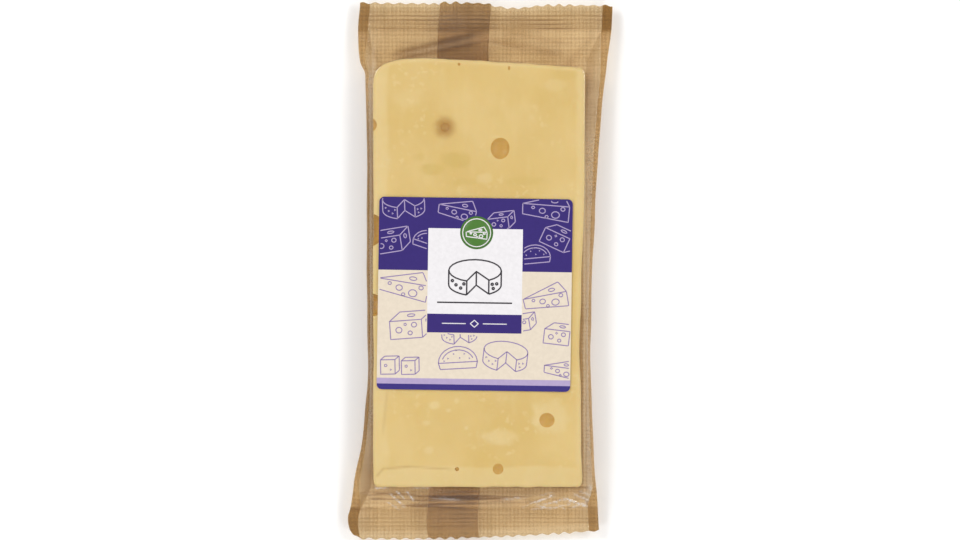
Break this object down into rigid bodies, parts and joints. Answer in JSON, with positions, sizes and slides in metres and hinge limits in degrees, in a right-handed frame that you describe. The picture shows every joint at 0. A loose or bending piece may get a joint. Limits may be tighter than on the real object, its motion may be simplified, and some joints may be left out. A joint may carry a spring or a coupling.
{
  "type": "flow-wrapped cheese slab",
  "caption": "Rectangular slab of hard cheese with round eyes, sealed in a flow wrap with a clear front window, tan paper-film back, crimped scalloped ends and a square front label.",
  "frame": {"origin": "middle of the pack's footprint, on the surface that it lies on", "axes": "+X across the face towards its right side, +Y along the pack towards the slab's curved rind end, +Z out of the labelled face"},
  "size_m": [0.107, 0.2164, 0.0176],
  "materials": {
    "cheese": "waxy satin, straw yellow, darker in the eyes",
    "clear_film": "clear and glossy, lightly wrinkled",
    "paper_film": "translucent tan kraft look with a soft sheen",
    "label_print": "printed, semi-gloss"
  },
  "bodies": {
    "root": {"cheese_slab": "cheese", "clear_window": "clear_film", "paper_strip_left": "paper_film", "paper_strip_right": "paper_film", "front_label": "label_print"}
  },
  "joints": []
}
